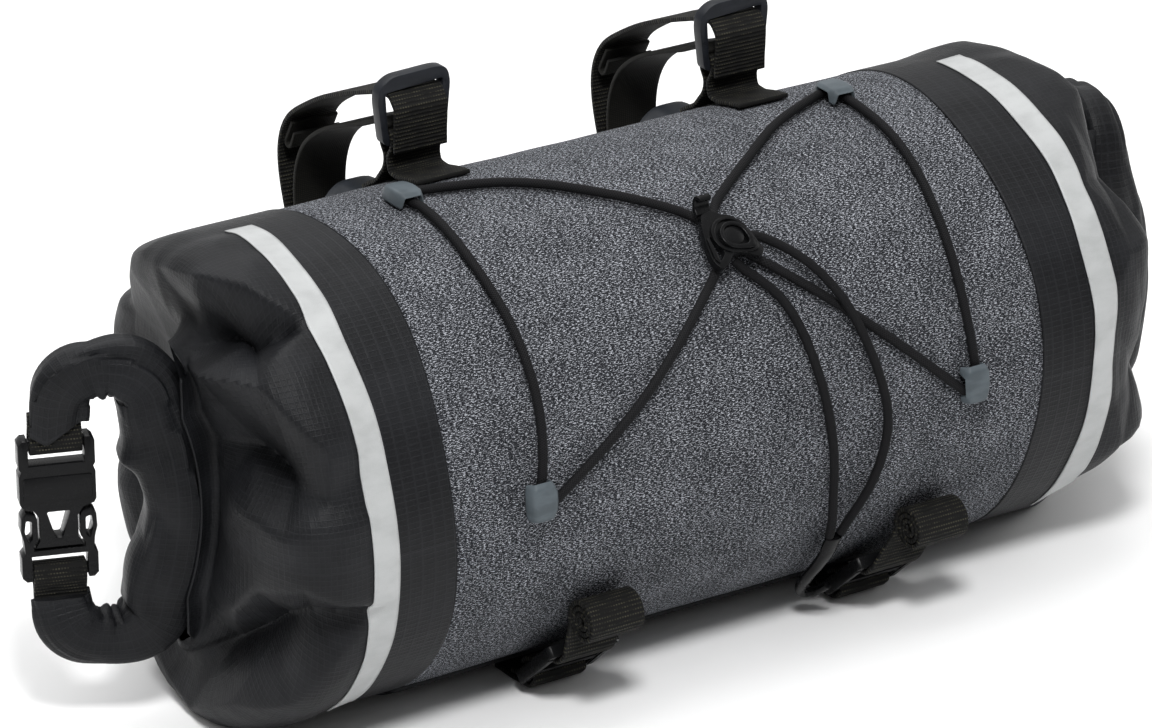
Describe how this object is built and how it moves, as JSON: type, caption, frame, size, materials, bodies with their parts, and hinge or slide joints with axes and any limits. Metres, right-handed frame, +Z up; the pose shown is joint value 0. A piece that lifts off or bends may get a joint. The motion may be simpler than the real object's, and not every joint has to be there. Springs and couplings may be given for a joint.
{
  "type": "bicycle handlebar bag",
  "caption": "Cylindrical bicycle handlebar bag with rolled, buckled ends, webbing straps and an elastic cord across its front.",
  "frame": {"origin": "on the surface that the bag lies on, under the middle of its body", "axes": "+X along the bag to its right end, -Y to its front, +Z up"},
  "size_m": [0.4936, 0.2094, 0.213],
  "materials": {
    "back_panel_cloth": "coated black cloth with a fine grid",
    "cord_end_hook_plastic": "black glossy plastic",
    "cord_lock_plastic": "black glossy plastic",
    "cord_lock_button_plastic": "black glossy plastic",
    "cord_lock_hook_plastic": "black glossy plastic",
    "cord_loop_left_elastic": "black braided elastic",
    "cord_loop_right_elastic": "black braided elastic",
    "cord_tail_front_elastic": "black braided elastic",
    "cord_tail_rear_elastic": "black braided elastic",
    "front_panel_heather": "matt grey heather weave",
    "left_buckle_socket_plastic": "black glossy plastic",
    "left_buckle_tongue_plastic": "black glossy plastic",
    "left_end_cloth": "coated black cloth with a fine grid",
    "left_handlebar_hook_ring_plastic": "black glossy plastic",
    "left_handlebar_inner_strap_webbing": "ribbed black webbing",
    "left_handlebar_outer_strap_webbing": "ribbed black webbing",
    "left_handlebar_ring_loop_webbing": "ribbed black webbing",
    "left_handlebar_spacer_pad_rubber": "smooth dark rubber",
    "left_handlebar_stitched_tab_webbing": "ribbed black webbing",
    "left_ladder_lock_plastic": "black glossy plastic",
    "left_ladder_tab_webbing": "ribbed black webbing",
    "left_lower_cord_guide_grey_plastic": "moulded grey plastic, slightly glossy",
    "left_lower_strap_webbing": "ribbed black webbing",
    "left_lower_tab_webbing": "ribbed black webbing",
    "left_reflective_strip_reflective": "pale grey reflective tape",
    "left_roll_cloth": "coated black cloth with a fine grid",
    "left_upper_cord_guide_grey_plastic": "moulded grey plastic, slightly glossy",
    "left_upper_tab_webbing": "ribbed black webbing",
    "right_buckle_socket_plastic": "black glossy plastic",
    "right_buckle_tongue_plastic": "black glossy plastic",
    "right_end_cloth": "coated black cloth with a fine grid",
    "right_handlebar_hook_ring_plastic": "black glossy plastic",
    "right_handlebar_inner_strap_webbing": "ribbed black webbing",
    "right_handlebar_outer_strap_webbing": "ribbed black webbing",
    "right_handlebar_ring_loop_webbing": "ribbed black webbing",
    "right_handlebar_spacer_pad_rubber": "smooth dark rubber",
    "right_handlebar_stitched_tab_webbing": "ribbed black webbing",
    "right_ladder_lock_plastic": "black glossy plastic",
    "right_ladder_tab_webbing": "ribbed black webbing",
    "right_lower_cord_guide_grey_plastic": "moulded grey plastic, slightly glossy",
    "right_lower_strap_webbing": "ribbed black webbing",
    "right_lower_tab_webbing": "ribbed black webbing",
    "right_reflective_strip_reflective": "pale grey reflective tape",
    "right_roll_cloth": "coated black cloth with a fine grid",
    "right_upper_cord_guide_grey_plastic": "moulded grey plastic, slightly glossy",
    "right_upper_tab_webbing": "ribbed black webbing"
  },
  "bodies": {
    "root": {"back_panel": "back_panel_cloth", "cord_end_hook": "cord_end_hook_plastic", "cord_lock": "cord_lock_plastic", "cord_lock_button": "cord_lock_button_plastic", "cord_lock_hook": "cord_lock_hook_plastic", "cord_loop_left": "cord_loop_left_elastic", "cord_loop_right": "cord_loop_right_elastic", "cord_tail_front": "cord_tail_front_elastic", "cord_tail_rear": "cord_tail_rear_elastic", "front_panel": "front_panel_heather", "left_buckle_socket": "left_buckle_socket_plastic", "left_buckle_tongue": "left_buckle_tongue_plastic", "left_end": "left_end_cloth", "left_handlebar_hook_ring": "left_handlebar_hook_ring_plastic", "left_handlebar_inner_strap": "left_handlebar_inner_strap_webbing", "left_handlebar_outer_strap": "left_handlebar_outer_strap_webbing", "left_handlebar_ring_loop": "left_handlebar_ring_loop_webbing", "left_handlebar_spacer_pad": "left_handlebar_spacer_pad_rubber", "left_handlebar_stitched_tab": "left_handlebar_stitched_tab_webbing", "left_ladder_lock": "left_ladder_lock_plastic", "left_ladder_tab": "left_ladder_tab_webbing", "left_lower_cord_guide": "left_lower_cord_guide_grey_plastic", "left_lower_strap": "left_lower_strap_webbing", "left_lower_tab": "left_lower_tab_webbing", "left_reflective_strip": "left_reflective_strip_reflective", "left_roll": "left_roll_cloth", "left_upper_cord_guide": "left_upper_cord_guide_grey_plastic", "left_upper_tab": "left_upper_tab_webbing", "right_buckle_socket": "right_buckle_socket_plastic", "right_buckle_tongue": "right_buckle_tongue_plastic", "right_end": "right_end_cloth", "right_handlebar_hook_ring": "right_handlebar_hook_ring_plastic", "right_handlebar_inner_strap": "right_handlebar_inner_strap_webbing", "right_handlebar_outer_strap": "right_handlebar_outer_strap_webbing", "right_handlebar_ring_loop": "right_handlebar_ring_loop_webbing", "right_handlebar_spacer_pad": "right_handlebar_spacer_pad_rubber", "right_handlebar_stitched_tab": "right_handlebar_stitched_tab_webbing", "right_ladder_lock": "right_ladder_lock_plastic", "right_ladder_tab": "right_ladder_tab_webbing", "right_lower_cord_guide": "right_lower_cord_guide_grey_plastic", "right_lower_strap": "right_lower_strap_webbing", "right_lower_tab": "right_lower_tab_webbing", "right_reflective_strip": "right_reflective_strip_reflective", "right_roll": "right_roll_cloth", "right_upper_cord_guide": "right_upper_cord_guide_grey_plastic", "right_upper_tab": "right_upper_tab_webbing"}
  },
  "joints": []
}
